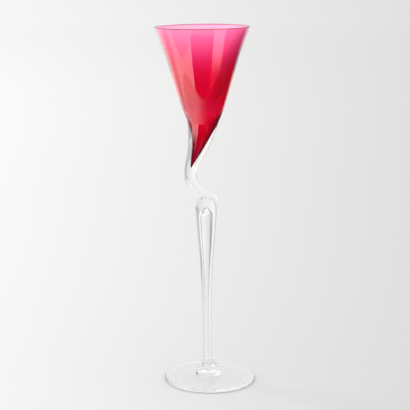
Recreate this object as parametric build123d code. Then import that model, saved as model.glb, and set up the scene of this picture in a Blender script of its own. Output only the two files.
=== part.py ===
"""A tall hand-made flute: ruby bowl, clear swan neck, bubble stem, bead, wafer and foot.

Millimetres, +Z up, with the origin at the centre of the foot on the table. Every gather of glass
is a solid of its own, and each one is placed on the top of the gather below it.
"""
import os
from math import radians

from build123d import *

# Foot: a low disc with a rounded edge, standing on a narrow ring
foot_radius = 38.2
foot_edge = 2.4
foot_rise = 4.6
foot_kick = 1.8
ring_width = 4.0

# Wafer on the middle of the foot
wafer_radius = 11.2
wafer_shoulder_radius = 9.6
wafer_side_height = 3.4
wafer_top_radius = 6.4
wafer_height = 6.0
wafer_shift = -1.4
seat_margin = 0.4

# Bead between the wafer and the stem
knop_radius = 6.4
knop_base_radius = 5.2
knop_top_radius = 4.8
knop_height = 5.4
knop_shift = -0.8

# Stem: leans a little, swells upwards to a round shoulder, and holds one long bubble
stem_length = 140.5
stem_foot_radius = 3.6
stem_belly_radius = 8.85
stem_shoulder_height = 7.5
stem_top_radius = 6.2
stem_taper = 0.7
stem_swell = 5.3
stem_lean = 0.61
stem_shift = -2.0
bubble_foot_radius = 0.9
bubble_radius = 4.0
bubble_taper = 0.4
bubble_swell = 4.4
bubble_dome_height = 7.0
bubble_roof = 6.5

# Swan neck: a rod that lies on the stem, crooks upwards and widens into the casing of the bowl's tail
toe_reach = 6.7
toe_rise = 2.4
toe_angle = 69.0
toe_length = 9.4
crook_radius = 16.5
ease_angle = 15.5
ease_radius = 37.0
run_length = 6.5
sway_angle = 20.5
sway_radius = 105.0
casing_straight = 4.2
toe_radius = 3.9
rod_radius = 5.2
root_radius = 6.0
casing_radius = 12.7
casing_depth = 14.5
casing_lip = 0.25
weld_radius = 5.9
weld_height = 3.6
weld_waist_radius = 3.6

# Bowl: a slightly flared cone with a hollow inside and a solid tail below
bowl_height = 63.8
bowl_rim_radius = 39.1
bowl_flare_radius = 29.3
bowl_flare_height = 36.4
bowl_base_radius = 18.1
rim_wall = 1.0
flare_wall = 1.9
base_wall = 4.0
hollow_depth = 17.5
hollow_tip_radius = 2.6
hollow_tip_height = 1.6
tail_tip_radius = 0.3
tail_length = 53.3
tail_spike_share = 0.45
tail_shoulder_power = 4.5

# How finely the formulas are stepped
profile_steps = 8
section_steps = 16


def turned(*lines):
    """Spin a closed half outline about Z."""
    return revolve(Plane.XZ * make_face(lines), Axis.Z)


def swell(foot, taper, belly, height, power):
    """Points of a side that widens slowly, then faster, and stands upright again at the belly."""
    points = []
    for step in range(profile_steps + 1):
        u = step / profile_steps
        bulge = u**power * (1 + power * (1 - u))
        points.append((foot + taper * u + (belly - foot - taper) * bulge, height * u))
    return points


def make_foot():
    """Disc with a seat on top for the wafer and a domed underside inside the standing ring."""
    round_radius = foot_edge / 2
    ring_outer = foot_radius - round_radius
    ring_inner = ring_outer - ring_width
    seat_radius = wafer_radius + abs(wafer_shift) + seat_margin
    under = TangentArc((0, foot_kick), (ring_inner, 0), tangent=(1, 0))
    ring = Line((ring_inner, 0), (ring_outer, 0))
    edge = ThreePointArc((ring_outer, 0), (foot_radius, round_radius), (ring_outer, foot_edge))
    top = Polyline((ring_outer, foot_edge), (seat_radius, foot_rise), (0, foot_rise), (0, foot_kick))
    return turned(under, ring, edge, top)


def make_wafer():
    """Flat button with a sloping side and a rounded shoulder."""
    side = Line((wafer_radius, 0), (wafer_shoulder_radius, wafer_side_height))
    shoulder = TangentArc(side @ 1, (wafer_top_radius, wafer_height), tangent=side % 1)
    rest = Polyline((wafer_top_radius, wafer_height), (0, wafer_height), (0, 0), (wafer_radius, 0))
    return turned(side, shoulder, rest)


def make_knop():
    """Bead, a little taller than it shows, so that the leaning stem can be bedded into its top."""
    belly = ThreePointArc(
        (knop_base_radius, 0), (knop_radius, knop_height / 2), (knop_top_radius, knop_height)
    )
    spare = Polyline(
        (knop_top_radius, knop_height), (knop_top_radius, 2 * knop_height), (0, 2 * knop_height), (0, 0)
    )
    return turned(belly, spare, Line((0, 0), (knop_base_radius, 0)))


def make_stem():
    """Swelling stem whose bubble is open below, where the bead closes it."""
    belly_height = stem_length - stem_shoulder_height
    bubble_top = stem_length - bubble_roof
    bubble_belly = bubble_top - bubble_dome_height
    outside = Spline(swell(stem_foot_radius, stem_taper, stem_belly_radius, belly_height, stem_swell))
    shoulder = TangentArc(outside @ 1, (stem_top_radius, stem_length), tangent=(0, 1))
    top = Polyline((stem_top_radius, stem_length), (0, stem_length), (0, bubble_top))
    bubble = Spline(swell(bubble_foot_radius, bubble_taper, bubble_radius, bubble_belly, bubble_swell))
    dome = Spline((0, bubble_top), bubble @ 1, tangents=((1, 0), (0, -1)))
    bottom = Line((bubble_foot_radius, 0), (stem_foot_radius, 0))
    return turned(outside, shoulder, top, dome, bubble, bottom)


def neck_line():
    """Middle line of the neck, from the middle of the toe on the stem up to the lip of the casing."""
    heading = Vector(0, 1).rotate(Axis.Z, toe_angle)
    start = Vector(toe_reach, toe_rise)
    toe = Line(start, start + heading * toe_length)
    crook = JernArc(toe @ 1, toe % 1, crook_radius, -(toe_angle + sway_angle - ease_angle))
    ease = JernArc(crook @ 1, crook % 1, ease_radius, -ease_angle)
    run = Line(ease @ 1, (ease @ 1) + (ease % 1) * run_length)
    sway = JernArc(run @ 1, run % 1, sway_radius, sway_angle)
    casing = Line(sway @ 1, (sway @ 1) + (sway % 1) * casing_straight)
    return Plane.XZ * Wire([toe, crook, ease, run, sway, casing])


def neck_stations(length):
    """Depth below the lip, along the middle line, and outer radius at the neck's turning points."""
    root = casing_straight + radians(sway_angle) * sway_radius + run_length
    return [
        (0, bowl_base_radius + casing_lip),
        (casing_depth, casing_radius),
        (root, root_radius),
        (root + radians(ease_angle) * ease_radius, rod_radius),
        (length, toe_radius),
    ]


def neck_radius(depth, length):
    """Outer radius of the neck at a depth below the lip."""
    stations = neck_stations(length)
    for (above, wide), (below, narrow) in zip(stations, stations[1:]):
        if depth <= below:
            return wide + (narrow - wide) * (depth - above) / (below - above)


def tail_radius(depth):
    """Radius of the bowl's tail at a depth below the lip: a round shoulder on a slim spike."""
    left = 1 - depth / tail_length
    share = tail_spike_share * left + (1 - tail_spike_share) * left**tail_shoulder_power
    return tail_tip_radius + (bowl_base_radius - tail_tip_radius) * share


def section(line, depth, radius):
    """Round cross section at a depth below the lip."""
    place = 1 - depth / line.length
    return Plane(line @ place, x_dir=(0, 1, 0), z_dir=line % place) * Circle(radius)


def make_tail(line):
    """Solid tail of the bowl, bent with the neck."""
    depths = [tail_length * i / section_steps for i in range(section_steps + 1)]
    return loft([section(line, depth, tail_radius(depth)) for depth in depths])


def make_blank(line):
    """Outside of the neck, filled: casing, rod, round toe and the foot that is welded to the stem."""
    depths = [line.length * i / section_steps for i in range(section_steps + 1)]
    rod = loft([section(line, depth, neck_radius(depth, line.length)) for depth in depths])
    half_ball = Sphere(toe_radius, arc_size1=0, align=(Align.CENTER, Align.CENTER, Align.MIN))
    toe = Plane(line @ 0, z_dir=-(line % 0)) * half_ball
    weld = Pos(0, 0, weld_height / 2) * Cone(weld_radius, weld_waist_radius, weld_height)
    return split(rod + toe + weld, Plane.XY, keep=Keep.TOP)


def make_bowl():
    """Open cone above the lip: outside, rounded rim, and the hollow down into the tail."""
    base = Line((0, 0), (bowl_base_radius, 0))
    cone = Line((bowl_base_radius, 0), (bowl_flare_radius, bowl_flare_height))
    rim_height = bowl_height - rim_wall / 2
    flare = TangentArc(cone @ 1, (bowl_rim_radius, rim_height), tangent=cone % 1)
    inner_rim = bowl_rim_radius - rim_wall
    rim = ThreePointArc(
        (bowl_rim_radius, rim_height), (bowl_rim_radius - rim_wall / 2, bowl_height), (inner_rim, rim_height)
    )
    outside = turned(base, cone, flare, rim, Polyline((inner_rim, rim_height), (0, rim_height), (0, 0)))

    inner_cone = Line((bowl_base_radius - base_wall, 0), (bowl_flare_radius - flare_wall, bowl_flare_height))
    inner_flare = TangentArc(inner_cone @ 1, (inner_rim, rim_height), tangent=inner_cone % 1)
    lid = Polyline((inner_rim, rim_height), (inner_rim, bowl_height), (0, bowl_height), (0, -hollow_depth))
    tip_top = (hollow_tip_radius, hollow_tip_height - hollow_depth)
    tip = TangentArc((0, -hollow_depth), tip_top, tangent=(1, 0))
    well = Line(tip_top, (bowl_base_radius - base_wall, 0))
    return outside, turned(inner_cone, inner_flare, lid, tip, well)


def build():
    """Put the pieces on top of each other and return them by name."""
    on_foot = Pos(wafer_shift, 0, foot_rise)
    on_wafer = Pos(knop_shift, 0, foot_rise + wafer_height)
    on_knop = Pos(stem_shift, 0, foot_rise + wafer_height + knop_height) * Rot(0, -stem_lean, 0)
    on_stem = on_knop * Pos(0, 0, stem_length)

    line = neck_line()
    on_neck = Pos(*(line @ 1))
    outside, hollow = make_bowl()
    filled_bowl = (on_neck * outside) + make_tail(line)
    return {
        "foot": make_foot(),
        "foot_wafer": on_foot * make_wafer(),
        "knop": split(on_wafer * make_knop(), Plane(on_knop), keep=Keep.BOTTOM),
        "stem": on_knop * make_stem(),
        "swan_neck": on_stem * (make_blank(line) - filled_bowl),
        "bowl": on_stem * (filled_bowl - on_neck * hollow),
    }


os.makedirs("parts", exist_ok=True)
for name, piece in build().items():
    export_step(piece, f"parts/{name}.step")
    print(name, "volume", round(piece.volume, 1), "box", piece.bounding_box().size)
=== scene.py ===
# %% [markdown]
# # A ruby flute on a swan neck
#
# This lesson dresses a tall hand-made drinking glass. Its solids are already built and packed: a foot, a
# wafer, a bead, a stem with an air bubble, a bent neck and a ruby bowl. Glass shows every facet and every
# gap, so each solid is replaced here by a fine smooth skin of the same shape, in the same frame. The lesson
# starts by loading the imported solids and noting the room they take, because the skins may not outgrow it.

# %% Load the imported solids
from collections import namedtuple
from math import atan2, cos, hypot, pi, radians, sin, sqrt

import bmesh
import bpy
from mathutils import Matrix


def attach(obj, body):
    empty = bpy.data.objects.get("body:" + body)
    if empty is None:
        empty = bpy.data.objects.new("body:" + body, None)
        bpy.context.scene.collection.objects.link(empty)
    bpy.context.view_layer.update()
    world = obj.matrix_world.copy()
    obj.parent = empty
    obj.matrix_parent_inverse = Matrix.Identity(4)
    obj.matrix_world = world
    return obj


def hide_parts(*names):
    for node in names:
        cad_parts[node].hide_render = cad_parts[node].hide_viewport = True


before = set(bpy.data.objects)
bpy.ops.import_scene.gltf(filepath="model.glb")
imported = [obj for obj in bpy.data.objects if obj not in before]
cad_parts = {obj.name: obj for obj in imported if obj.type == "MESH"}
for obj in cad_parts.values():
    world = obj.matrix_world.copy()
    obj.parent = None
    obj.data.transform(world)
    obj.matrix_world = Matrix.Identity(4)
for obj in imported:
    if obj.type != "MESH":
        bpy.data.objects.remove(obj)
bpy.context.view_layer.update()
MM = 0.001

# %% [markdown]
# ## Rings
#
# A blown or turned gather is round at every height, even where it bends. So its shape can be told as a row
# of rings: a middle, a radius and a lean. The row runs over the whole skin, from the point where it starts
# on the axis, round the outside, and back to the axis, so the skin closes by itself. Each ring also says how
# many millimetres of coloured glass lie behind it, and which finish the band after it takes. The other way
# is to spin an outline about an axis, but a spin can't follow a bent neck or a foot that sits off-centre.

# %% Rings and outlines
Ring = namedtuple("Ring", "x z radius lean depth core bend finish")
OUTSIDE, JOINED, WELL = 0, 1, 2


def line(start, end, steps):
    """Points of a straight outline, without its first point."""
    return [
        tuple(a + (b - a) * step / steps for a, b in zip(start, end)) for step in range(1, steps + 1)
    ]


def tangent_arc(start, heading, end, steps):
    """Points of the arc that leaves start along heading and reaches end, without its first point."""
    size = hypot(*heading)
    ahead = (heading[0] / size, heading[1] / size)
    side = (-ahead[1], ahead[0])
    gap = (end[0] - start[0], end[1] - start[1])
    radius = (gap[0] ** 2 + gap[1] ** 2) / (2 * (gap[0] * side[0] + gap[1] * side[1]))
    sweep = 2 * atan_of(gap, ahead, side)
    points = []
    for step in range(1, steps + 1):
        turn = sweep * step / steps
        along = radius * sin(turn)
        across = radius * (1 - cos(turn))
        points.append(tuple(start[i] + ahead[i] * along + side[i] * across for i in (0, 1)))
    return points


def atan_of(gap, ahead, side):
    """Angle from ahead to gap, measured towards side."""
    return atan2(gap[0] * side[0] + gap[1] * side[1], gap[0] * ahead[0] + gap[1] * ahead[1])


def stand(outline, x, z, lean=0.0, depth=1.0, core=0.0, bend=1.0, finish=OUTSIDE):
    """Rings for an outline of radius and height points that stands at x, z and leans."""
    return [
        Ring(x + height * sin(lean), z + height * cos(lean), radius, lean, depth, core, bend, finish)
        for radius, height in outline
    ]


print("finishes:", {"OUTSIDE": OUTSIDE, "JOINED": JOINED, "WELL": WELL})

# %% [markdown]
# ## Node trees as sums
#
# Shapes, colours and light are reckoned by node trees here. Each step of such a sum is a Math node, and
# wiring the nodes one by one is slow to write and hard to read. So a small class stands for a value in a
# tree, and where such values are added or multiplied, it makes the node and the wires.

# %% Values in a node tree
def new_tree(name, kind, inputs, outputs):
    """Empty node group with named sockets; returns it with its group input and output nodes."""
    tree = bpy.data.node_groups.new(name, kind)
    for way, sockets in (("INPUT", inputs), ("OUTPUT", outputs)):
        for label, socket in sockets.items():
            tree.interface.new_socket(label, in_out=way, socket_type="NodeSocket" + socket)
    return tree, tree.nodes.new("NodeGroupInput"), tree.nodes.new("NodeGroupOutput")


def feed(tree, node, links):
    """Feed a node's inputs, by place or name, from levels, sockets or plain values."""
    for place, source in links.items():
        source = getattr(source, "socket", source)
        if isinstance(source, bpy.types.NodeSocket):
            tree.links.new(source, node.inputs[place])
        else:
            node.inputs[place].default_value = source


def wire(tree, kind, links=None, **settings):
    """New node with its settings, fed by its links."""
    node = tree.nodes.new(kind)
    for key, value in settings.items():
        setattr(node, key, value)
    feed(tree, node, links or {})
    return node


class Level:
    """A value in a node tree that can be reckoned with like a number."""

    def __init__(self, tree, socket):
        self.tree, self.socket = tree, socket

    def calc(self, operation, *others):
        """Result of a Math node on this value and others."""
        sources = dict(enumerate((self, *others)))
        return output(self.tree, "ShaderNodeMath", sources, operation=operation)

    def __add__(self, other):
        return self.calc("ADD", other)

    def __sub__(self, other):
        return self.calc("SUBTRACT", other)

    def __mul__(self, other):
        return self.calc("MULTIPLY", other)

    def __truediv__(self, other):
        return self.calc("DIVIDE", other)

    def rest(self):
        """What this level leaves of one."""
        return self.calc("MULTIPLY_ADD", -1.0, 1.0)

    def highest(self, *others):
        """The highest of this level and others."""
        top = self
        for other in others:
            top = top.calc("MAXIMUM", other)
        return top

    def ramp(self, low, high, low_level, high_level):
        """Level that runs evenly from low_level to high_level while this runs from low to high."""
        links = dict(enumerate((self, low, high, low_level, high_level)))
        return output(self.tree, "ShaderNodeMapRange", links)

    def blend(self, first, second):
        """The first level where this is zero, and the second where it is one."""
        return output(self.tree, "ShaderNodeMix", {0: self, 2: first, 3: second})


def output(tree, kind, links=None, **settings):
    """First output of a new node."""
    return Level(tree, wire(tree, kind, links, **settings).outputs[0])


print("nodes can be wired and reckoned with")

# %% [markdown]
# ## A skin over the rings
#
# Geometry Nodes turn the row of rings into a skin. A grid has one column for each side and one row for each
# ring, and every grid point looks up its own ring and moves to its place on it. Points that meet, at the
# seam and at the two ends of the row, are merged. The same tree makes all six pieces, so a change of
# fineness is one number.

# %% Build the tree that skins the rings
def ring_value(tree, rings, name, place):
    """A ring's named value, looked up at place in the row."""
    value = output(tree, "GeometryNodeInputNamedAttribute", {"Name": name}, data_type="FLOAT")
    return output(tree, "GeometryNodeSampleIndex", {0: rings, 1: value, 2: place}, data_type="FLOAT")


def skin_tree():
    """Tree that skins a row of rings; its inputs are the sides of a ring, the merging gap and the glass."""
    inputs = {"Rings": "Geometry", "Sides": "Int", "Merging gap": "Float", "Glass": "Material"}
    tree, start, end = new_tree("ring_skin", "GeometryNodeTree", inputs, {"Skin": "Geometry"})
    rings, sides = start.outputs["Rings"], Level(tree, start.outputs["Sides"])
    count = output(tree, "GeometryNodeAttributeDomainSize", {0: rings}, component="MESH")
    grid = output(tree, "GeometryNodeMeshGrid", {2: sides + 1, 3: count})
    index = output(tree, "GeometryNodeInputIndex")
    place = index.calc("MODULO", count)
    turn = (index / count).calc("FLOOR") / sides * (2 * pi)
    radius, lean = (ring_value(tree, rings, name, place) for name in ("radius", "lean"))
    reach = radius * turn.calc("COSINE")
    offset = (reach * lean.calc("COSINE"), radius * turn.calc("SINE"), reach * lean.calc("SINE") * -1)
    offset = output(tree, "ShaderNodeCombineXYZ", dict(enumerate(offset)))
    links = {0: rings, 1: output(tree, "GeometryNodeInputPosition"), 2: place}
    middle = output(tree, "GeometryNodeSampleIndex", links, data_type="FLOAT_VECTOR")
    skin = output(tree, "GeometryNodeSetPosition", {0: grid, 2: middle, 3: offset})
    for name in ("depth", "core", "bend", "place"):
        value = place if name == "place" else ring_value(tree, rings, name, place)
        links = {0: skin, 2: name, 3: value}
        skin = output(tree, "GeometryNodeStoreNamedAttribute", links, data_type="FLOAT")
    links = {0: skin, 2: "band", 3: index.calc("MODULO", count - 1)}
    skin = output(tree, "GeometryNodeStoreNamedAttribute", links, data_type="INT", domain="FACE")
    skin = output(tree, "GeometryNodeMergeByDistance", {0: skin, 2: start.outputs["Merging gap"]})
    skin = output(tree, "GeometryNodeSetShadeSmooth", {0: skin})
    skin = output(tree, "GeometryNodeRealizeInstances", {0: skin})
    skin = output(tree, "GeometryNodeSetMaterial", {0: skin, 2: start.outputs["Glass"]})
    feed(tree, end, {"Skin": skin})
    return tree


RING_SKIN = skin_tree()
print("skin tree nodes:", len(RING_SKIN.nodes))

# %% [markdown]
# ## From rings to a piece
#
# The rings go in as loose points that carry their values, and the tree runs on them as a modifier. What
# comes out is kept as a plain mesh, because later steps need its real faces. Each face knows its band, and
# so its finish. At the end the faces are turned outwards, true edges stay sharp, and open edges are counted.

# %% Use the tree on a row of rings
SIDES = 144
BOWL_SIDES = 240
MERGING_GAP = 2e-7
CREASE = radians(28)


def set_input(modifier, label, value):
    """Set a tree's named input on its modifier."""
    modifier[modifier.node_group.interface.items_tree[label].identifier] = value


def ring_points(rings):
    """Mesh of loose points, one in the middle of each ring, that carry the rings' values."""
    points = bpy.data.meshes.new("rings")
    points.from_pydata([(ring.x * MM, 0, ring.z * MM) for ring in rings], [], [])
    values = {name: [getattr(ring, name) for ring in rings] for name in ("lean", "depth", "core", "bend")}
    values["radius"] = [ring.radius * MM for ring in rings]
    for name, numbers in values.items():
        points.attributes.new(name, "FLOAT", "POINT").data.foreach_set("value", numbers)
    return points


def blow(name, rings, glass, sides=SIDES):
    """Skin the rings and return a plain object; glass lists the materials of its finishes."""
    maker = bpy.data.objects.new("maker", ring_points(rings))
    bpy.context.scene.collection.objects.link(maker)
    modifier = maker.modifiers.new("skin", "NODES")
    modifier.node_group = RING_SKIN
    set_input(modifier, "Sides", sides)
    set_input(modifier, "Merging gap", MERGING_GAP)
    set_input(modifier, "Glass", glass[OUTSIDE])
    mesh = bpy.data.meshes.new_from_object(maker.evaluated_get(bpy.context.evaluated_depsgraph_get()))
    bpy.data.objects.remove(maker)
    mesh.name = name
    mesh.materials.clear()
    for material in glass:
        mesh.materials.append(material)
    for face, band in zip(mesh.polygons, mesh.attributes["band"].data):
        face.material_index = rings[band.value].finish
    piece = bpy.data.objects.new("fine_" + name, mesh)
    bpy.context.scene.collection.objects.link(piece)
    return piece


def finish_skin(piece):
    """Turn the faces outwards, keep true creases sharp and say how large the skin is."""
    skin = bmesh.new()
    skin.from_mesh(piece.data)
    bmesh.ops.recalc_face_normals(skin, faces=skin.faces)
    volume = skin.calc_volume(signed=True)
    if volume < 0:
        bmesh.ops.reverse_faces(skin, faces=skin.faces)
    loose = [edge for edge in skin.edges if not edge.is_manifold]
    skin.to_mesh(piece.data)
    skin.free()
    piece.data.set_sharp_from_angle(angle=CREASE)
    for name in ("band", "place"):
        piece.data.attributes.remove(piece.data.attributes[name])
    millilitres = round(abs(volume) * 1e6, 3)
    print(piece.name, "faces", len(piece.data.polygons), "ml", millilitres, "open edges", len(loose))


print("sides of a ring:", SIDES, "and of the bowl's:", BOWL_SIDES)

# %% [markdown]
# ## Colour by depth
#
# Ruby glass has one colour all through. It looks pink where the wall is thin and nearly black-red where it
# is thick, because each millimetre takes its share of the light. A volume shader could count the
# millimetres, but it can't tell the ruby from the clear glass that is welded to it without a gap. So the
# skin carries the depth of the glass behind it, and a shared group raises the colour of one millimetre to
# that power. A slanting ray has a longer way through a wall and a shorter way through a round core, so the
# group also takes the cosine of the slant. Even the thickest ruby lets a trace of blue through, which the
# group adds as the least colour.

# %% Shader group: colour of a depth of glass
def depth_group():
    """Group that gives the colour of light after its way through the glass."""
    inputs = {"One millimetre": "Color", "Least": "Color"}
    inputs.update({"Depth": "Float", "Cosine": "Float", "Core": "Float"})
    tree, start, end = new_tree("glass_depth", "ShaderNodeTree", inputs, {"Colour": "Color"})
    least_cosine = 0.25
    depth, cosine, core = (Level(tree, start.outputs[name]) for name in ("Depth", "Cosine", "Core"))
    way = depth * cosine.highest(least_cosine).calc("POWER", core * 2 - 1)
    colour = output(tree, "ShaderNodeGamma", {0: start.outputs["One millimetre"], 1: way})
    both = {0: 1.0, 6: colour, 7: start.outputs["Least"]}
    colour = wire(tree, "ShaderNodeMix", both, data_type="RGBA", blend_type="ADD").outputs[2]
    feed(tree, end, {"Colour": colour})
    return tree


GLASS_DEPTH = depth_group()
print("depth group inputs:", [socket.name for socket in GLASS_DEPTH.interface.items_tree])

# %% [markdown]
# ## The hand of the maker
#
# Hot-worked glass is never quite even. Drawing leaves long faint ripples along the piece, and handling
# leaves a breath of haze. Both finishes need this, so it is a second shared group. It puts out a height,
# which a Bump node in each material turns into a slightly wavy reflection, and a roughness that stays very
# low. Real ripples in the mesh would do the same, but they would have to be finer than the mesh is.

# %% Shader group: hand-worked surface
def hand_group():
    """Group that gives drawn ripples as a height and a faint haze as a roughness."""
    inputs = {"Ripples per metre": "Float", "Stretch": "Float", "Haze": "Float"}
    outputs = {"Height": "Float", "Roughness": "Float"}
    tree, start, end = new_tree("hand_worked", "ShaderNodeTree", inputs, outputs)
    spot = wire(tree, "ShaderNodeTexCoord").outputs["Object"]
    squeeze = output(tree, "ShaderNodeCombineXYZ", {0: 1.0, 1: 1.0, 2: start.outputs["Stretch"]})
    drawn = output(tree, "ShaderNodeVectorMath", {0: spot, 1: squeeze}, operation="MULTIPLY")
    fineness = {"Scale": start.outputs["Ripples per metre"], "Detail": 2.0, "Roughness": 0.4}
    ripple = output(tree, "ShaderNodeTexNoise", {"Vector": drawn, **fineness})
    fineness = {"Scale": 90.0, "Detail": 3.0}
    smudge = output(tree, "ShaderNodeTexNoise", {"Vector": spot, **fineness})
    clean, smudged = 0.52, 0.8
    haze = smudge.ramp(clean, smudged, 0, 1) * start.outputs["Haze"]
    feed(tree, end, {"Height": ripple, "Roughness": haze})
    return tree


HAND_WORKED = hand_group()
print("hand group outputs:", [s.name for s in HAND_WORKED.interface.items_tree if s.in_out == "OUTPUT"])

# %% [markdown]
# ## Finishes of the glass
#
# The outside of the clear pieces and of the ruby bowl is real glass: it bends light and mirrors it. Where
# two gathers are welded there is no surface at all on the real object, only more glass. There the clear
# pieces take a finish that shows nothing, and the ruby tail inside the clear neck takes one that colours
# the light without bending it. With plain glass on both sides of a weld, light would cross a thin film of
# air, and the joint would shine like a mirror. The bottom of the bowl's hollow bends light less and less on
# the way down, because a hard end in thick glass would draw a bright ring across the bowl.

# %% Glass materials
GLASS_INDEX = 1.5
RIPPLES_PER_METRE, RIPPLE_STRETCH, RIPPLE, HAZE = 60.0, 0.25, 0.000003, 0.02
RUBY_MILLIMETRE = (0.968, 0.392, 0.58, 1.0)
RUBY_LEAST = (0.0, 0.0, 0.016, 1.0)
CLEAR_MILLIMETRE = (0.992, 0.995, 0.993, 1.0)
BLACK = (0.0, 0.0, 0.0, 1.0)


def new_material(name):
    """Material with a fresh tree; returns it with its tree and its Principled shader."""
    material = bpy.data.materials.new(name)
    material.use_nodes = True
    tree = material.node_tree
    return material, tree, tree.nodes["Principled BSDF"]


def slant_inside(tree, bends):
    """Cosine of the ray's slant inside the glass; a ray that comes in from the air is bent first."""
    cosine = Level(tree, wire(tree, "ShaderNodeLayerWeight", {0: 0.5}).outputs["Facing"]).rest()
    if not bends:
        return cosine
    bent = ((cosine * cosine).rest() * (-1 / GLASS_INDEX**2) + 1.0).calc("SQRT")
    inside = Level(tree, wire(tree, "ShaderNodeNewGeometry").outputs["Backfacing"])
    return inside.blend(bent, cosine)


def carried(tree, name):
    """Value that the skin carries under a name."""
    return Level(tree, wire(tree, "ShaderNodeAttribute", attribute_name=name).outputs["Fac"])


def glass_material(name, millimetre, least, bends=True, ripple_height=0.0, haze=0.0):
    """Glass whose colour comes from the depth that its skin carries."""
    material, tree, shader = new_material(name)
    index = GLASS_INDEX if bends else 1.0
    feed(tree, shader, {"Transmission Weight": 1.0, "IOR": index, "Roughness": 0.0})
    way = {"Depth": carried(tree, "depth"), "Core": carried(tree, "core")}
    way["Cosine"] = slant_inside(tree, bends)
    tint = wire(tree, "ShaderNodeGroup", way, node_tree=GLASS_DEPTH)
    feed(tree, tint, {"One millimetre": millimetre, "Least": least})
    feed(tree, shader, {"Base Color": tint.outputs[0]})
    if ripple_height:
        drawing = {"Ripples per metre": RIPPLES_PER_METRE, "Stretch": RIPPLE_STRETCH, "Haze": haze}
        hand = wire(tree, "ShaderNodeGroup", drawing, node_tree=HAND_WORKED).outputs
        ripples = {"Height": hand["Height"], "Strength": 1.0, "Distance": ripple_height}
        wavy = output(tree, "ShaderNodeBump", ripples)
        feed(tree, shader, {"Normal": wavy, "Roughness": hand["Roughness"]})
    return material


def well_material():
    """Clear skin of the hollow's bottom, which bends light less and less on the way down."""
    material, tree, shader = new_material("ruby_well")
    feed(tree, shader, {"Transmission Weight": 1.0, "Roughness": 0.0, "Base Color": (1, 1, 1, 1)})
    feed(tree, shader, {"IOR": carried(tree, "bend") * (GLASS_INDEX - 1) + 1.0})
    return material


def weld_material():
    """Finish of a face that is welded to clear glass: nothing is seen of it."""
    material, tree, shader = new_material("welded")
    feed(tree, shader, {"Alpha": 0.0})
    return material


ruby_glass = glass_material("ruby", RUBY_MILLIMETRE, RUBY_LEAST, ripple_height=RIPPLE, haze=HAZE)
ruby_core = glass_material("cased_ruby", RUBY_MILLIMETRE, RUBY_LEAST, bends=False)
clear_glass = glass_material("clear", CLEAR_MILLIMETRE, BLACK, ripple_height=RIPPLE, haze=HAZE)
ruby_well = well_material()
welded = weld_material()
print("materials:", [m.name for m in (ruby_glass, ruby_core, ruby_well, clear_glass, welded)])

# %% [markdown]
# ## Foot
#
# The foot is a disc that was spun out hot: thin at its fire-polished edge, thicker in the middle, and a
# little hollow below, so that it stands on a narrow ring. The wafer sits on it 1.4 mm off its centre, and
# the welded spot has its own rings around that point.

# %% Foot
foot_radius, foot_edge, foot_rise, foot_kick, ring_width = 38.2, 2.4, 4.6, 1.8, 4.0
wafer_radius, wafer_shift, seat_margin = 11.2, -1.4, 0.4
weld_gap = 0.03


def foot_rings():
    """From the hollow below, over the standing ring, the edge and the top, to the welded middle."""
    half_edge = foot_edge / 2
    ring_outer = foot_radius - half_edge
    ring_inner = ring_outer - ring_width
    seat = wafer_radius - wafer_shift + seat_margin
    under = [(0, foot_kick)] + tangent_arc((0, foot_kick), (1, 0), (ring_inner, 0), steps=24)
    edge = tangent_arc((ring_outer, 0), (1, 0), (foot_radius, half_edge), steps=10)
    edge += tangent_arc((foot_radius, half_edge), (0, 1), (ring_outer, foot_edge), steps=10)
    top = line((ring_outer, foot_edge), (seat, foot_rise), steps=24)
    ring = line((ring_inner, 0), (ring_outer, 0), steps=4)
    rings = stand(under + ring + edge + top, 0, 0, depth=foot_edge)
    welded_spot = line((wafer_radius, foot_rise), (0, foot_rise), steps=8)
    rings += stand([(wafer_radius, foot_rise)], wafer_shift, 0, finish=JOINED)
    return rings + stand(welded_spot, wafer_shift, 0, finish=JOINED)


foot = blow("foot", foot_rings(), [clear_glass, welded])
finish_skin(foot)

# %% [markdown]
# ## Wafer and bead
#
# Between stem and foot the maker sets two small gathers: a wafer, pressed flat with a sloping side, and a
# round bead. They spread the load of the stem over the foot and hide the weld. Both are short rows of
# rings with flat welded ends. The bead's top follows the stem, which leans by half a degree.

# %% Wafer and bead
wafer_shoulder_radius, wafer_side_height, wafer_top_radius, wafer_height = 9.6, 3.4, 6.4, 6.0
knop_radius, knop_base_radius, knop_top_radius, knop_height, knop_shift = 6.4, 5.2, 4.8, 5.4, -0.8
stem_lean, stem_shift = -radians(0.61), -2.0
stem_foot_radius, bubble_foot_radius = 3.6, 0.9
knop_floor = foot_rise + wafer_height
stem_floor = knop_floor + knop_height


def wafer_rings():
    """From the weld on the foot, up the sloping side and the round shoulder, to the weld under the bead."""
    shoulder_start = (wafer_shoulder_radius, wafer_side_height)
    slope = (wafer_shoulder_radius - wafer_radius, wafer_side_height)
    below = [(0, weld_gap)] + line((0, weld_gap), (wafer_radius, weld_gap), steps=8)
    side = line((wafer_radius, weld_gap), shoulder_start, steps=6)
    shoulder = tangent_arc(shoulder_start, slope, (wafer_top_radius, wafer_height), steps=14)
    rings = stand(below[:-1], wafer_shift, foot_rise, finish=JOINED)
    rings += stand(below[-1:] + side + shoulder, wafer_shift, foot_rise, depth=wafer_radius, core=1)
    bed = (knop_base_radius, wafer_height)
    top = [bed] + line(bed, (0, wafer_height), steps=6)
    return rings + stand(top, knop_shift, foot_rise, finish=JOINED)


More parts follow.
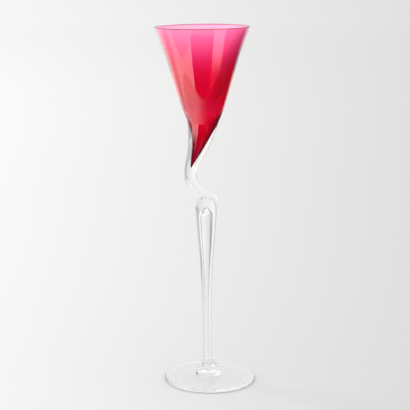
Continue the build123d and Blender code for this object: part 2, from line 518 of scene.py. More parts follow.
def three_point_arc(start, middle, end, steps):
    """Points of the arc through three points, without its first point."""
    (ax, ay), (bx, by), (cx, cy) = start, middle, end
    twist = 2 * (ax * (by - cy) + bx * (cy - ay) + cx * (ay - by))
    a, b, c = ax * ax + ay * ay, bx * bx + by * by, cx * cx + cy * cy
    middle_x = (a * (by - cy) + b * (cy - ay) + c * (ay - by)) / twist
    middle_y = (a * (cx - bx) + b * (ax - cx) + c * (bx - ax)) / twist
    heading = (middle_y - ay, ax - middle_x)
    if heading[0] * (bx - ax) + heading[1] * (by - ay) < 0:
        heading = (-heading[0], -heading[1])
    return tangent_arc(start, heading, end, steps)


def knop_rings():
    """From the weld on the wafer, round the bead, to the bed of the leaning stem."""
    start, top = (knop_base_radius, weld_gap), (knop_top_radius, knop_height)
    belly = (knop_radius, knop_height / 2)
    below = [(0, weld_gap)] + line((0, weld_gap), start, steps=6)
    rings = stand(below[:-1], knop_shift, knop_floor, finish=JOINED)
    round_side = three_point_arc(start, belly, top, steps=20)
    rings += stand(below[-1:] + round_side[:-1], knop_shift, knop_floor, depth=knop_radius, core=1)
    rings += [Ring(knop_shift, stem_floor, knop_top_radius, stem_lean, knop_radius, 1, 1, OUTSIDE)]
    bed = [(stem_foot_radius, 0)] + line((stem_foot_radius, 0), (bubble_foot_radius, 0), steps=4)
    rings += stand(bed[:-1], stem_shift, stem_floor, stem_lean, finish=JOINED)
    return rings + stand([bed[-1], (0, 0)], stem_shift, stem_floor, stem_lean)


foot_wafer = blow("foot_wafer", wafer_rings(), [clear_glass, welded])
knop = blow("knop", knop_rings(), [clear_glass, welded])
finish_skin(foot_wafer)
finish_skin(knop)

# %% [markdown]
# ## Stem
#
# The stem was drawn from a gather with one bubble blown into it, and the bubble was drawn out with it. Both
# sides follow the same rule: they widen slowly from the foot, then faster, and stand upright again at the
# belly. The rings run down inside the bubble, across the weld on the bead, up the outside and over the
# shoulder to the weld under the neck.

# %% Stem
stem_length, stem_shoulder_height = 140.5, 7.5
stem_belly_radius, stem_top_radius, stem_taper, stem_swell = 8.85, 6.2, 0.7, 5.3
bubble_radius, bubble_taper, bubble_swell, bubble_dome_height, bubble_roof = 4.0, 0.4, 4.4, 7.0, 6.5
neck_weld_radius = 5.9
bubble_depth, stem_depth = 2.0, 4.0
dome_steps, side_steps = 16, 70


def swell(foot_size, taper, belly, height, power, steps):
    """Outline that widens slowly, then faster, and stands upright again at the belly."""
    points = []
    for step in range(steps + 1):
        u = step / steps
        bulge = u**power * (1 + power * (1 - u))
        points.append((foot_size + taper * u + (belly - foot_size - taper) * bulge, height * u))
    return points


def stem_rings():
    """Bubble from its dome down to the bead, weld, outside, shoulder, and weld under the neck."""
    belly_height = stem_length - stem_shoulder_height
    dome_floor = stem_length - bubble_roof - bubble_dome_height
    turns = [pi / 2 * step / dome_steps for step in range(dome_steps)]
    dome = [(bubble_radius * sin(turn), dome_floor + bubble_dome_height * cos(turn)) for turn in turns]
    widening = (bubble_taper, bubble_radius, dome_floor, bubble_swell)
    bubble = swell(bubble_foot_radius, *widening, side_steps)[::-1]
    bubble[-1] = (bubble_foot_radius, weld_gap)
    rings = stand(dome + bubble[:-1], stem_shift, stem_floor, stem_lean, depth=bubble_depth)
    widening = (stem_taper, stem_belly_radius, belly_height, stem_swell)
    outside = swell(stem_foot_radius, *widening, side_steps)
    outside[0] = (stem_foot_radius, weld_gap)
    rings += stand([bubble[-1]], stem_shift, stem_floor, stem_lean, finish=JOINED)
    shoulder = tangent_arc(outside[-1], (0, 1), (stem_top_radius, stem_length), steps=16)
    rings += stand(outside + shoulder, stem_shift, stem_floor, stem_lean, depth=stem_depth)
    weld_edge = (neck_weld_radius, stem_length)
    spot = [weld_edge] + line(weld_edge, (0, stem_length), steps=24)
    return rings + stand(spot, stem_shift, stem_floor, stem_lean, finish=JOINED)


stem = blow("stem", stem_rings(), [clear_glass, welded])
finish_skin(stem)

# %% [markdown]
# ## Line of the neck
#
# The clear gather that cases the bowl's tail was pulled out, bent like a swan's neck and laid on the stem
# while it was soft. Its middle line is a short walk of straight stretches and bends, from the toe on the
# stem up to the lip where the ruby cone comes out of it. Each place on the walk gives a ring its middle and
# its lean.

# %% Walk along the neck
toe_reach, toe_rise, toe_angle, toe_length = 6.7, 2.4, 69.0, 9.4
crook_radius, ease_angle, ease_radius, run_length = 16.5, 15.5, 37.0, 6.5
sway_angle, sway_radius, casing_straight = 20.5, 105.0, 4.2
neck_bends = [
    (toe_length, 0.0),
    (crook_radius * radians(toe_angle + sway_angle - ease_angle), toe_angle + sway_angle - ease_angle),
    (ease_radius * radians(ease_angle), ease_angle),
    (run_length, 0.0),
    (sway_radius * radians(sway_angle), -sway_angle),
    (casing_straight, 0.0),
]
neck_length = sum(length for length, _ in neck_bends)
stem_top_x = stem_shift + stem_length * sin(stem_lean)
stem_top_z = stem_floor + stem_length * cos(stem_lean)


def on_stem(x, z):
    """A point of the stem top's own plane, in the object's frame."""
    return (
        stem_top_x + x * cos(stem_lean) + z * sin(stem_lean),
        stem_top_z - x * sin(stem_lean) + z * cos(stem_lean),
    )


def walk(distance):
    """Middle and lean at a distance from the toe's centre; before the toe the line runs straight on."""
    x, z, lean = toe_reach, toe_rise, -radians(toe_angle)
    if distance < 0:
        return x + distance * sin(lean), z + distance * cos(lean), lean
    for length, turn in neck_bends:
        step = min(distance, length)
        swing = radians(turn) * step / length
        chord = step * sin(swing / 2) / (swing / 2) if swing else step
        x += chord * sin(lean + swing / 2)
        z += chord * cos(lean + swing / 2)
        lean += swing
        distance -= step
        if distance <= 0:
            break
    return x, z, lean


def neck_ring(depth_below_lip, radius, depth, core, finish):
    """Ring on the neck's line at a depth below the lip."""
    x, z, lean = walk(neck_length - depth_below_lip)
    return Ring(*on_stem(x, z), radius, lean + stem_lean, depth, core, 1, finish)


lip_x, lip_z = on_stem(*walk(neck_length)[:2])
print("neck length", round(neck_length, 2), "lip at", round(lip_x, 2), round(lip_z, 2))

# %% [markdown]
# ## Bowl
#
# The bowl is a cone, blown thin at the rim and left thick below. Under the lip it ends in a solid tail that
# sways with the neck. The rings start at the tip of the tail, climb the tail inside the casing, follow the
# cone and its flare to the rim, and come down inside to the bottom of the hollow.

# %% Outlines of the bowl
bowl_height, bowl_rim_radius, bowl_base_radius = 63.8, 39.1, 18.1
bowl_flare_radius, bowl_flare_height = 29.3, 36.4
rim_wall, flare_wall, base_wall = 1.0, 1.9, 4.0
hollow_depth, hollow_tip_radius, hollow_tip_height = 17.5, 2.6, 1.6
tail_tip_radius, tail_length, tail_spike_share, tail_shoulder_power = 0.3, 53.3, 0.45, 4.5
casing_lip, well_ease, well_top, well_floor = 0.25, 3.0, 7.0, -14.0
flush_share, flush_reach = 0.9, 5.0
rim_floor = bowl_height - rim_wall / 2


def tail_radius(depth):
    """Radius of the tail: a round shoulder on a slim spike."""
    left = 1 - depth / tail_length
    share = tail_spike_share * left + (1 - tail_spike_share) * left**tail_shoulder_power
    flush = flush_share * casing_lip * max(1 - depth / flush_reach, 0) ** 2
    return tail_tip_radius + (bowl_base_radius - tail_tip_radius) * share + flush


def soft_min(a, b, ease):
    """The smaller of two lengths, with the corner between them eased."""
    return (a + b - sqrt((a - b) ** 2 + ease**2)) / 2


def hollow_radius(height):
    """Radius of the hollow under the flare: a steep well below, eased into the cone's inside above."""
    base_inside = bowl_base_radius - base_wall
    well_slope = (base_inside - hollow_tip_radius) / (hollow_depth - hollow_tip_height)
    cone_slope = (bowl_flare_radius - flare_wall - base_inside) / bowl_flare_height
    return soft_min(base_inside + well_slope * height, base_inside + cone_slope * height, well_ease)


def radius_at(outline, height):
    """Radius of an outline, listed from bottom to top, at a height."""
    for (r0, h0), (r1, h1) in zip(outline, outline[1:]):
        if height <= h1:
            break
    return r0 + (r1 - r0) * (height - h0) / (h1 - h0)


def bowl_outside():
    """Outline from the lip up to the top of the rim."""
    cone_base = (bowl_base_radius + casing_lip, 0)
    flare_base = (bowl_flare_radius, bowl_flare_height)
    cone_heading = (bowl_flare_radius - bowl_base_radius, bowl_flare_height)
    rim_out = (bowl_rim_radius, rim_floor)
    rim_top = (bowl_rim_radius - rim_wall / 2, bowl_height)
    points = [cone_base] + line(cone_base, flare_base, steps=24)
    points += tangent_arc(flare_base, cone_heading, rim_out, steps=24)
    return points + tangent_arc(rim_out, (0, 1), rim_top, steps=8)


def bowl_inside():
    """Outline from the bottom of the hollow up to the top of the rim."""
    tip_top = (hollow_radius(hollow_tip_height - hollow_depth), hollow_tip_height - hollow_depth)
    points = [(0, -hollow_depth)] + tangent_arc((0, -hollow_depth), (1, 0), tip_top, steps=12)
    steps = 48
    for step in range(1, steps + 1):
        height = tip_top[1] + (bowl_flare_height - tip_top[1]) * step / steps
        points.append((hollow_radius(height), height))
    heading = (points[-1][0] - points[-2][0], points[-1][1] - points[-2][1])
    rim_in = (bowl_rim_radius - rim_wall, rim_floor)
    points += tangent_arc(points[-1], heading, rim_in, steps=24)
    return points + tangent_arc(rim_in, (0, 1), (bowl_rim_radius - rim_wall / 2, bowl_height), steps=8)


def tail_outline():
    """Outline of the straightened tail, from its tip to the lip."""
    steps = 60
    depths = [tail_length * (steps - step) / steps for step in range(steps + 1)]
    return [(tail_radius(depth), -depth) for depth in depths]


print("outline points:", [len(outline()) for outline in (tail_outline, bowl_outside, bowl_inside)])

# %% [markdown]
# ## Depth of the ruby
#
# Each ring carries a depth of ruby: both walls beside the hollow, and far more down the solid tail, where
# light runs to and fro. The true depth differs from ray to ray, and only a volume could follow it. The paler
# lip, the darker rim and the depth at the tip were set one by one.

# %% Depths and rings of the bowl
deepest_wall, tip_depth, rim_depth, core_ease = 7.2, 46.0, 8.0, 4.0
lip_paleness, lip_reach = 2.6, 14.0
lower_extra, lower_full, lower_end = 1.3, 20.0, 40.0


def wall_at(height):
    """Thickness of the wall, square to the outside, at a height above or below the lip."""
    outside = tail_outline()[:-1] + bowl_outside()
    inside = bowl_inside()
    height = min(max(height, -hollow_depth), rim_floor)
    step = 0.2
    slope = (radius_at(outside, height + step) - radius_at(outside, height - step)) / (2 * step)
    return (radius_at(outside, height) - radius_at(inside, height)) / hypot(1, slope)


def part_way(value, start, end):
    """How far a value is on its way from start to end, from zero to one."""
    return min(max((value - start) / (end - start), 0), 1)


def tail_depth(height):
    """Depth of ruby on the tail: both walls beside the hollow, paler at the lip, and deep glass below it."""
    below = -height - hollow_depth
    solid = deepest_wall + (tip_depth - deepest_wall) * part_way(below, 0, tail_length - hollow_depth)
    walls = min(2 * wall_at(height), deepest_wall) - lip_paleness * max(1 + height / lip_reach, 0)
    return walls + (solid - walls) * part_way(below, -core_ease / 2, core_ease / 2)


def bowl_depth(height):
    """Depth of ruby on the outside of the cone: both walls, more in the lower half, and a dark rim."""
    if height > rim_floor:
        return rim_depth
    lower = lower_extra * part_way(height, lower_end, lower_full)
    return min(2 * wall_at(height), deepest_wall) + lower


def bowl_rings():
    """Tail from its tip to the lip, ruby outside of the cone, rim and clear skin of the hollow."""
    rings = []
    for radius, height in tail_outline():
        rings.append(neck_ring(-height, radius, tail_depth(height), 0, JOINED))
    rings.insert(0, rings[0]._replace(radius=0))
    for radius, height in bowl_outside():
        rings += stand([(radius, height)], lip_x, lip_z, stem_lean, depth=bowl_depth(height))
    for radius, height in bowl_inside()[::-1][1:]:
        bend = part_way(height, well_floor, well_top)
        bend = bend * bend * (3 - 2 * bend)
        finish = WELL if height < well_top else OUTSIDE
        rings += stand([(radius, height)], lip_x, lip_z, stem_lean, depth=0, bend=bend, finish=finish)
    return rings


bowl = blow("bowl", bowl_rings(), [ruby_glass, ruby_core, ruby_well], BOWL_SIDES)
finish_skin(bowl)

# %% [markdown]
# ## Swan neck
#
# The neck is the casing of the tail above and a solid rod below, with a round toe. Its rings run from the
# tip of the socket up to the lip, and down the outside to the toe. Its radius eases from one turning point
# to the next, as drawn glass does.

# %% Swan neck
toe_radius, rod_radius, root_radius, casing_radius, casing_depth = 3.9, 5.2, 6.0, 12.7, 14.5


def neck_stations():
    """Depth below the lip, outer radius and slope at the neck's turning points."""
    root = casing_straight + sway_radius * radians(sway_angle) + run_length
    cone_slope = (bowl_flare_radius - bowl_base_radius - casing_lip) / bowl_flare_height
    return [
        (0, bowl_base_radius + casing_lip, -cone_slope),
        (casing_depth - 2.0, casing_radius + 0.8, -0.42),
        (casing_depth + 3.5, casing_radius - 0.65, -0.18),
        (root, root_radius, -0.17),
        (root + ease_radius * radians(ease_angle), rod_radius, -0.05),
        (neck_length, toe_radius, -0.04),
    ]


def neck_radius(depth):
    """Smooth outer radius of the neck: each stretch leaves and meets its stations with their slopes."""
    stations = neck_stations()
    for (start, r0, slope0), (end, r1, slope1) in zip(stations, stations[1:]):
        if depth <= end:
            break
    span = end - start
    u = (depth - start) / span
    level = r0 * (1 + 2 * u) * (1 - u) ** 2 + r1 * u * u * (3 - 2 * u)
    return level + span * (slope0 * u * (1 - u) ** 2 - slope1 * u * u * (1 - u))


def neck_rings():
    """Socket from its tip to the lip, casing, rod and round toe."""
    socket_steps, outside_steps, toe_steps = 60, 150, 18
    rings = []
    for step in range(socket_steps, -1, -1):
        below = tail_length * step / socket_steps
        rings.append(neck_ring(below, tail_radius(below) + weld_gap, 1, 0, JOINED))
    rings.insert(0, rings[0]._replace(radius=0))
    for step in range(outside_steps + 1):
        below = neck_length * step / outside_steps
        radius = neck_radius(below)
        rings.append(neck_ring(below, radius, radius, 1, OUTSIDE))
    for step in range(1, toe_steps + 1):
        turn = pi / 2 * step / toe_steps
        past = neck_length + toe_radius * sin(turn)
        radius = toe_radius * cos(turn) if step < toe_steps else 0
        rings.append(neck_ring(past, radius, toe_radius, 1, OUTSIDE))
    return rings


swan_neck_rings = neck_rings()
swan_neck = blow("swan_neck", swan_neck_rings, [clear_glass, welded])
print("rings of the neck:", len(swan_neck_rings))

# %% [markdown]
# ## Weld of neck and stem
#
# The soft rod sank a little where it was laid on the stem and flowed out over it. So every point near the
# stem is pushed out to the flow, or held up where it would sink in. The end of the flow is rounded, as
# surface tension does. Only faces that touch are welded, and the rest of the stem's top keeps its glass.
# One joined mesh would need none of this, but neck and stem have to stay two pieces.

# %% Weld of neck and stem
weld_height, weld_waist_radius = 3.6, 3.6
toe_zone, flow_limit, least_reach = 25.0, 9.0, 0.05
rounding_height, rounding_passes, rounding = 5.0, 12, 0.5


def settle_toe(piece, rings):
    """Let the soft rod flow out over the stem's top and rest on it."""
    places = [round(value.value) for value in piece.data.attributes["place"].data]
    for vertex, place in zip(piece.data.vertices, places):
        ring = rings[place]
        if ring.finish == JOINED or ring.radius == 0 or ring.z > stem_top_z + toe_zone:
            continue
        px, py, pz = (c / MM for c in vertex.co)
        dx, dy, dz = (px - ring.x) / ring.radius, py / ring.radius, (pz - ring.z) / ring.radius
        reach = flow_reach(ring, dx, dy, dz)
        vertex.co = ((ring.x + reach * dx) * MM, reach * dy * MM, (ring.z + reach * dz) * MM)


def flow_reach(ring, dx, dy, dz):
    """How far the glass reaches from a ring's middle in a direction: the rod, or the flow over the stem."""
    reach = ring.radius
    step = 0.1
    trial = ring.radius
    while trial < ring.radius + flow_limit:
        x, y, z = ring.x + trial * dx, trial * dy, ring.z + trial * dz
        height = max(z - stem_top_z, 0)
        rise = min(height / weld_height, 1)
        flow = weld_waist_radius + (neck_weld_radius - weld_waist_radius) * (1 - rise) ** 2
        if z < stem_top_z or height > weld_height or hypot(x - stem_top_x, y) > flow:
            break
        reach = trial
        trial += step
    if dz < 0:
        resting = (ring.z - stem_top_z - weld_gap) / -dz
        reach = min(reach, max(resting, least_reach))
    return reach


def round_weld(piece):
    """Round the step at the end of the flow, as surface tension does."""
    skin = bmesh.new()
    skin.from_mesh(piece.data)
    near = []
    for vertex in skin.verts:
        x, y, z = (c / MM for c in vertex.co)
        above = 2 * weld_gap < z - stem_top_z < rounding_height
        if above and x < stem_top_x and hypot(x - stem_top_x, y) < flow_limit:
            near.append(vertex)
    every_way = {"use_axis_x": True, "use_axis_y": True, "use_axis_z": True}
    for _ in range(rounding_passes):
        bmesh.ops.smooth_vert(skin, verts=near, factor=rounding, **every_way)
    skin.to_mesh(piece.data)
    skin.free()


def around_stem(face):
    """Sector of ten degrees and distance of a face, seen from the middle of the stem's top."""
    x, y = face.center.x / MM - stem_top_x, face.center.y / MM
    return round(atan2(y, x) * 18 / pi), hypot(x, y)


def weld_sole(piece):
    """Give the sole of the flow, which lies flat on the stem, the welded finish."""
    sole_top, flat = (stem_top_z + 3 * weld_gap) * MM, 0.9
    for face in piece.data.polygons:
        if face.center.z < sole_top and abs(face.normal.z) > flat:
            if around_stem(face)[1] < stem_top_radius:
                face.material_index = JOINED


def glaze_bare_top(lower, upper):
    """Give the stem's top its glass back where the flow doesn't reach."""
    contact = {}
    for face in upper.data.polygons:
        if face.material_index == JOINED and face.center.z < (stem_top_z + 1) * MM:
            sector, away = around_stem(face)
            contact[sector] = max(contact.get(sector, 0), away)
    for face in lower.data.polygons:
        if face.material_index == JOINED and face.center.z > (stem_top_z - 1) * MM:
            sector, away = around_stem(face)
            if away > contact.get(sector, 0):
                face.material_index = OUTSIDE
    reaches = [round(pick(contact.values()), 1) for pick in (min, max)]
    print("the neck lies on the stem out to", reaches, "mm from its middle")


settle_toe(swan_neck, swan_neck_rings)
round_weld(swan_neck)
weld_sole(swan_neck)
glaze_bare_top(stem, swan_neck)
finish_skin(swan_neck)

# %% [markdown]
# ## Hand the pieces over
#
# Nothing moves on a drinking glass, so all six pieces ride on its one body. Each one stands for the solid of
# the same name, which is hidden.

# %% Ride and replace
pieces = {
    "foot": foot,
    "foot_wafer": foot_wafer,
    "knop": knop,
    "stem": stem,
    "swan_neck": swan_neck,
    "bowl": bowl,
}
for node, piece in pieces.items():
    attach(piece, "root")
    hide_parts(node)
print("pieces:", [piece.name for piece in pieces.values()])

# %% [markdown]
# ## Who is looking
#
# A glass shows little but its surroundings, so they matter more than lamps. Round the real glass they seem
# to be pale paper, a bright window on the left and a dark room in front and on the right. Walls and screens
# for all that would stand in the other views. So only the paper is built, and it answers each kind of ray in
# its own way. Real paper doesn't do that: it is an aid, with levels set from one side, and from other
# sides it is only a likely studio. The Light Path node tells the kinds apart. Cycles calls a ray that passed
# through glass glossy as well, so a mirrored ray is glossy but not transmitted. A ray with more than two
# crossings came through both walls of the bowl, the cased tail or the bubble. On a flat floor the length of
# a ray times the cosine of its slant is the height where it left the glass. Each ramp below is four numbers:
# where it starts and ends, and the level at its start and at its end.

# %% Kinds of rays
MANY_CROSSINGS = 2.5
BOWL_FLOOR = (0.235, 0.24, 0, 1)
Look = namedtuple("Look", "x y far slope turn steep height mirrored through solid walled")


def light_path(tree):
    """What a ray did before, with two kinds of our own: mirrored, and through many crossings."""
    path = {socket.name: Level(tree, socket) for socket in wire(tree, "ShaderNodeLightPath").outputs}
    path["Mirrored"] = path["Is Glossy Ray"] - path["Is Transmission Ray"]
    path["Hollow"] = path["Transmission Depth"].calc("GREATER_THAN", MANY_CROSSINGS)
    return path


def split(tree, place):
    """The three coordinates of a place or a direction."""
    return [Level(tree, socket) for socket in wire(tree, "ShaderNodeSeparateXYZ", {0: place}).outputs]


def look_at_floor(tree):
    """Where on the floor a ray lands, how high on the glass it started, and which kind it is."""
    spot = wire(tree, "ShaderNodeTexCoord").outputs["Object"]
    x, y, _ = split(tree, spot)
    far = Level(tree, wire(tree, "ShaderNodeVectorMath", {0: spot}, operation="LENGTH").outputs["Value"])
    turn = x.calc("ARCTAN2", y) * (0.5 / pi) + 0.5
    steep = Level(tree, wire(tree, "ShaderNodeLayerWeight", {0: 0.5}).outputs["Facing"]).rest()
    path = light_path(tree)
    height = path["Ray Length"] * steep
    solid, walled = path["Hollow"].rest(), path["Hollow"].highest(height.ramp(*BOWL_FLOOR))
    kinds = (path["Mirrored"], path["Is Transmission Ray"], solid, walled)
    return Look(x, y, far, x / y, turn, steep, height, *kinds)


print("a look at the floor knows:", Look._fields)

# %% [markdown]
# ## The studio in the mirror
#
# The bowl leans outwards, so its front mirrors the paper close to the foot, and further out the room round
# the glass. The edge between the two is the round end of the dark tongue on the bowl. The room is a strip of
# levels: dark in front, the window on the left, the backdrop behind, and dark again on the right. A
# photographed panorama would do the same, but this short list can be read and changed. Turns are shares of
# a circle that starts in front of the glass, so that 0.5 is straight behind it. Upright walls, such as those
# of the stem, mirror far paper in a calm even tone.

# %% Mirrored surroundings
# Painted reflection: these levels are the glow of the floor that mirrored rays see.
ROOM_STRIP = [
    (-180, 0.04), (-145, 0.04), (-144, 4.1), (-90, 4.0), (-79, 3.1), (-71, 1.7), (-60, 1.6),
    (-45, 2.3), (-27, 1.9), (-10, 1.0), (22, 1.2), (33, 1.2), (40, 0.4), (46, 0.03),
    (63, 0.03), (90, 0.1), (110, 0.12), (126, 0.3), (146.5, 0.3), (148, 0.04), (180, 0.04),
]
PAPER_WIDTH, PAPER_REACH = (0.67, 0.74, 0.45, 0.6), (0.67, 0.74, 0.306, 0.297)
PAPER_EDGE = (0, 0.005, 0, 1)
PAPER_LEFT, PAPER_RIGHT = (-0.2, 0.02, 2.6, 0.4), (0.02, 0.12, 1, 0.15)
SCREEN_START, SCREEN_END = (0.808, 0.824, 0, 1), (0.907, 0.911, 1, 0)
SCREEN_HEIGHT, SCREEN_FAR = (0.262, 0.281, 0, 3.2), (0.285, 0.295, 0, 1)
FRONT_LEFT, FRONT_RIGHT = (0.2, 0.3, 1, 0), (0.85, 0.87, 0, 1)
RIM_GLINT = (0.2938, 0.2968, 0, 1.5)
LEANING, BOWL_HEIGHT = (0.36, 0.44, 0, 1), (0.226, 0.234, 0, 1)
FLANK_HEIGHT, FLANK_END = (0.205, 0.214, 0, 1), (0.24, 0.28, 1, 0)
CALM_SLANT, CALM_ACROSS, CALM_BEHIND = -0.3, (-0.1, 0.05, 1.0, 0.2), (0.0, 0.3, 0.1, 1)


def room_round(turn):
    """Level of the room in a direction; the strip counts degrees from behind the glass, right positive."""
    brightest = max(level for _, level in ROOM_STRIP)
    node = wire(turn.tree, "ShaderNodeValToRGB", {0: turn})
    elements = node.color_ramp.elements
    elements.remove(elements[1])
    for degrees, level in ROOM_STRIP:
        share = level / brightest
        elements.new(degrees / 360 + 0.5).color = (share, share, share, 1)
    elements.remove(elements[0])
    return Level(turn.tree, node.outputs[0]) * brightest


def leaning_mirror(look):
    """What the leaning bowl mirrors: near paper, the room beyond its edge, a screen and a rim glint."""
    away = (look.y * look.y + look.x * look.x * look.steep.ramp(*PAPER_WIDTH)).calc("SQRT")
    beyond = (away - look.steep.ramp(*PAPER_REACH)).ramp(*PAPER_EDGE)
    paper = look.x.ramp(*PAPER_LEFT) * look.x.ramp(*PAPER_RIGHT)
    screen = look.turn.ramp(*SCREEN_START) * look.turn.ramp(*SCREEN_END)
    screen *= look.height.ramp(*SCREEN_HEIGHT) * look.far.ramp(*SCREEN_FAR)
    front = look.turn.ramp(*FRONT_LEFT).highest(look.turn.ramp(*FRONT_RIGHT))
    glint = front * look.height.ramp(*RIM_GLINT)
    return beyond.blend(paper, room_round(look.turn)).highest(screen, glint)


def mirrored_floor(look):
    """Glow of the floor in a mirrored ray, a painted reflection: a picture on the leaning bowl, a calm tone
    on upright walls.
    """
    flank = look.height.ramp(*FLANK_HEIGHT) * look.turn.ramp(*FLANK_END)
    leaning = look.steep.ramp(*LEANING).highest(look.height.ramp(*BOWL_HEIGHT), flank)
    calm = (look.x + look.y * CALM_SLANT).ramp(*CALM_ACROSS) * look.y.ramp(*CALM_BEHIND)
    return leaning.blend(calm, leaning_mirror(look))


print("levels round the glass:", len(ROOM_STRIP))

# %% [markdown]
# ## The studio through the glass
#
# Through the glass the paper looks lit from behind, brightest under the foot and far behind the bowl. On the
# right the room is dark, which gives the bowl its deep right side. Solid rods bend light across, so the
# dark room shows on their left edge instead. A black card beside the glass would do this too, but it would
# be seen in the other views. The slope is how far to the side a ray lands for each metre behind.

# %% Dark and light behind the glass
FOOT_GLOW, NEAR_GLOW, FAR_GLOW = 0.42, 0.05, 0.48
RIGHT_SLANT, RIGHT_START, RIGHT_FAR = -0.2, (0.2, 0.36, 0, 1), (0.6, 1.0, 0.55, 0.3)
BACKDROP_FADE, ABOVE_STEM = (4, 7, 1, 0), (0.16, 0.18, 0, 1)
DUSK_START, DUSK_DEEP, DUSK_END = (0.06, 0.1, 0, 0.08), (0.1, 0.3, 0, 0.31), (1.8, 2.4, 1, 0)
DUSK_NEAR, DUSK_FAR = (0.55, 0.7, 0, 1), (1.1, 2.6, 1.05, 0.5)
EDGE_START, EDGE_END, EDGE_FAR = (0.2, 0.22, 0, 1), (0.322, 0.339, 0.5, 0), (0.15, 0.25, 0, 1)
FOOT_EDGE, HAZE_GLOW = (0.04, 0.06, FOOT_GLOW, NEAR_GLOW), (3.5, 4.5, 0, 0.2)
BACKDROP_GLOW, BACKDROP_HEIGHT = (1.2, 2.8, 0, FAR_GLOW), (0.232, 0.246, 0.2, 1)
STREAK_START, STREAK_END, LEFT_STREAK = (0.01, 0.03, 0, 0.24), (0.05, 0.075, 1, 0), (-0.12, -0.02, 0.2, 0)
BOWL_NEAR, BOWL_FAR = (0.8, 1.0, 0, 1), (5.5, 8, 1, 0.75)


def dark_behind(look):
    """Painted shade, the light that is missing: on the right, behind the bowl's right side, and at edges of
    rods.
    """
    near = look.y.ramp(*BACKDROP_FADE)
    right = (look.x + look.y * RIGHT_SLANT).ramp(*RIGHT_START) * look.far.ramp(*RIGHT_FAR)
    dusk = (look.slope.ramp(*DUSK_START) + look.slope.ramp(*DUSK_DEEP)) * look.slope.ramp(*DUSK_END)
    dusk *= look.far.ramp(*DUSK_NEAR) * look.far.ramp(*DUSK_FAR) * look.height.ramp(*ABOVE_STEM)
    edge = look.turn.ramp(*EDGE_START) * look.turn.ramp(*EDGE_END) * look.far.ramp(*EDGE_FAR)
    return (right * look.solid.highest(near)).highest(dusk * near * look.walled, edge * look.solid)


def light_behind(look):
    """Painted light, the glow of the paper: under the foot, far behind the bowl, and in two upright streaks.
    """
    backdrop = look.y.ramp(*BACKDROP_GLOW) * look.height.ramp(*BACKDROP_HEIGHT)
    streak = look.slope.ramp(*STREAK_START) * look.slope.ramp(*STREAK_END)
    bowl = backdrop + (streak + look.slope.ramp(*LEFT_STREAK))
    bowl *= look.walled * look.far.ramp(*BOWL_NEAR) * look.y.ramp(*BOWL_FAR)
    return look.far.ramp(*FOOT_EDGE).highest(bowl, look.y.ramp(*HAZE_GLOW))


print("glow under the foot", FOOT_GLOW, "near", NEAR_GLOW, "far", FAR_GLOW)

# %% [markdown]
# ## Floor
#
# The floor is one large sheet of pale paper that takes the soft shadow. To the camera it is plain, with
# painted light in its colour: a little lighter on the left and in the distance, as a sheet beside a window
# is.
# A hair below the foot, it never shares a plane with the glass.

# %% Floor
PAPER_COLOUR, GLOW_COLOUR = (0.872, 0.872, 0.874, 1), (1, 1, 0.99, 1)
# Painted light: the paper's colour is a little lighter on the left and far away.
PAPER_SHARE, PAINTED_LIGHT_LEFT_TO_RIGHT = 0.95, (-0.168, 0.168, 0.1, -0.1)
FADE_ASIDE, FADE_NEAR, PAINTED_LIGHT_FAR_AWAY = (0.2, 0.9, 1, 0), (-0.9, -0.1, 0, 1), (1, 6, 1, 1.1)
FRONT_EDGE, LEAST_LENGTH = 1.0, 0.4
FLOOR_HALF, FLOOR_LEVEL = 30, -0.0003


def paper_share_with_painted_light(look):
    """Share of the paper's colour, with painted light: a little higher on the left and in the distance."""
    aside = look.x / (look.y + FRONT_EDGE).highest(LEAST_LENGTH)
    fade = aside.calc("ABSOLUTE").ramp(*FADE_ASIDE) * look.y.ramp(*FADE_NEAR)
    return (aside.ramp(*PAINTED_LIGHT_LEFT_TO_RIGHT) * fade + PAPER_SHARE) * look.y.ramp(*PAINTED_LIGHT_FAR_AWAY)


def floor_material():
    """Pale paper that mirrored rays and rays through glass see differently, with painted shade and painted
    light.
    """
    material, tree, shader = new_material("paper")
    look = look_at_floor(tree)
    dark = dark_behind(look)
    # Painted shade: the colour goes black in mirrored rays, and darker where the dark room is seen through
    # glass.
    share = paper_share_with_painted_light(look) * look.mirrored.highest(look.through * dark).rest()
    both = {0: share, 6: BLACK, 7: PAPER_COLOUR}
    seen = wire(tree, "ShaderNodeMix", both, data_type="RGBA", clamp_factor=False)
    feed(tree, shader, {"Base Color": seen.outputs[2], "Roughness": 1.0, "Specular IOR Level": 0.0})
    # Painted light: the glow is the backdrop seen through glass and the room picture seen in the mirror.
    glow = light_behind(look) * look.through * dark.rest()
    glow = glow.highest(look.mirrored * mirrored_floor(look))
    feed(tree, shader, {"Emission Color": GLOW_COLOUR, "Emission Strength": glow})
    return material


def lay_floor():
    """Flat sheet of paper, which is no piece of the glass."""
    corners = [(-FLOOR_HALF, -FLOOR_HALF), (FLOOR_HALF, -FLOOR_HALF)]
    corners += [(FLOOR_HALF, FLOOR_HALF), (-FLOOR_HALF, FLOOR_HALF)]
    mesh = bpy.data.meshes.new("floor")
    mesh.from_pydata([(x, y, FLOOR_LEVEL) for x, y in corners], [], [(0, 1, 2, 3)])
    mesh.materials.append(floor_material())
    flat = bpy.data.objects.new("floor", mesh)
    bpy.context.scene.collection.objects.link(flat)
    print("floor nodes:", len(mesh.materials[0].node_tree.nodes))


lay_floor()

# %% [markdown]
# ## Room light
#
# The world lights the floor evenly, and the camera sees a pale backdrop in it. Mirrored rays see the dark
# room in front, the backdrop behind and a paler ceiling. Rays that solid glass bends upwards meet the window
# on the left and the dark room on the right. In the cased tail they cross over, and meet darkness on the
# left. One large lamp on the left, far enough to be soft, lays the faint shadow. The glass doesn't show the
# lamp, since the strip of levels stands for it.

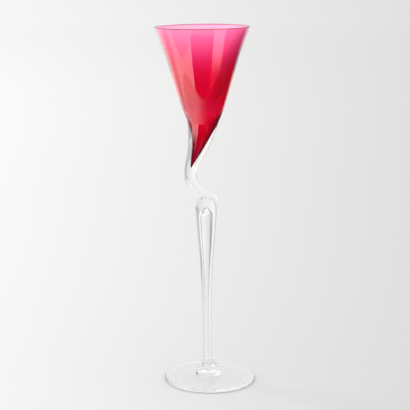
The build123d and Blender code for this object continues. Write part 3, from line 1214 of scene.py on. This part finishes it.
# %% World and key light
ROOM_LIGHT, BACKDROP, BEHIND_GLASS, DARK_ROOM, CEILING = 0.92, 0.84, 0.85, 0.04, 0.6
HOLLOW_GAIN, ROOM_COLOUR = 0.16, (1.0, 1.0, 0.993, 1)
MIRROR_AWAY, MIRROR_UP = (0.3, 0.8, DARK_ROOM, BACKDROP), (0.15, 0.5, DARK_ROOM, CEILING)
CROSSED, DARK_RIGHT = (-0.6, -0.12, 0.72, 0), (0.55, 0.7, 1, 0.5)
WINDOW_LEFT, WINDOW_TOP = (-0.6, -0.25, 0.4, 0), (0.4, 0.5, 1, 0)


def studio_world():
    """Even light for the floor; mirrored rays and rays through glass see the studio."""
    world = bpy.data.worlds.new("studio")
    world.use_nodes = True
    tree = world.node_tree
    across, away, up = split(tree, wire(tree, "ShaderNodeTexCoord").outputs["Generated"])
    path = light_path(tree)
    hollow = path["Hollow"]
    mirrored = away.ramp(*MIRROR_AWAY).highest(up.ramp(*MIRROR_UP))
    behind = (hollow * HOLLOW_GAIN + BEHIND_GLASS) * (hollow * across.ramp(*CROSSED)).rest()
    window = hollow.rest() * across.ramp(*WINDOW_LEFT) * up.ramp(*WINDOW_TOP)
    behind = (behind + behind * window) * across.ramp(*DARK_RIGHT)
    level = path["Is Camera Ray"].blend(ROOM_LIGHT, BACKDROP)
    level = path["Mirrored"].blend(level, mirrored)
    level = path["Is Transmission Ray"].blend(level, behind)
    feed(tree, tree.nodes["Background"], {"Strength": level, "Color": ROOM_COLOUR})
    bpy.context.scene.world = world


def key_light():
    """Large soft lamp on the left, which gives the faint shadow on the right."""
    lamp = bpy.data.lights.new("key", "AREA")
    lamp.shape = "DISK"
    lamp.size = 1.2
    lamp.energy = 22.0
    holder = bpy.data.objects.new("key", lamp)
    holder.location = (-2.6, 1.4, 3.0)
    holder.rotation_euler = (-radians(25), -radians(41), 0)
    holder.visible_glossy = False
    holder.visible_transmission = False
    bpy.context.scene.collection.objects.link(holder)
    print("room", ROOM_LIGHT, "backdrop", BACKDROP, "lamp watts", lamp.energy)


studio_world()
key_light()

# %% [markdown]
# ## Camera
#
# The camera was found by fitting the heights and widths of the glass: a long lens one metre away, a little
# above the rim, looking down by eleven and a half degrees. Standard view keeps colours as they are written.
# A ray through the cased tail or the bubble crosses many surfaces, and Cycles would cut it off and show
# black, so the bounce limits that glass uses are raised.

# %% Camera
LIGHT_BOUNCES = 32
camera_data = bpy.data.cameras.new("camera")
camera_data.lens = 107.2
camera_data.sensor_width = 36.0
camera_data.clip_end = 100
camera = bpy.data.objects.new("camera", camera_data)
camera.location = (-0.0042, -1.0, 0.356)
camera.rotation_euler = (radians(78.45), 0, 0)
bpy.context.scene.collection.objects.link(camera)
bpy.context.scene.camera = camera
bpy.context.scene.view_settings.view_transform = "Standard"
for limit in ("max_bounces", "glossy_bounces", "transmission_bounces", "transparent_max_bounces"):
    setattr(bpy.context.scene.cycles, limit, LIGHT_BOUNCES)
print("camera lens", camera_data.lens, "bounces", LIGHT_BOUNCES)
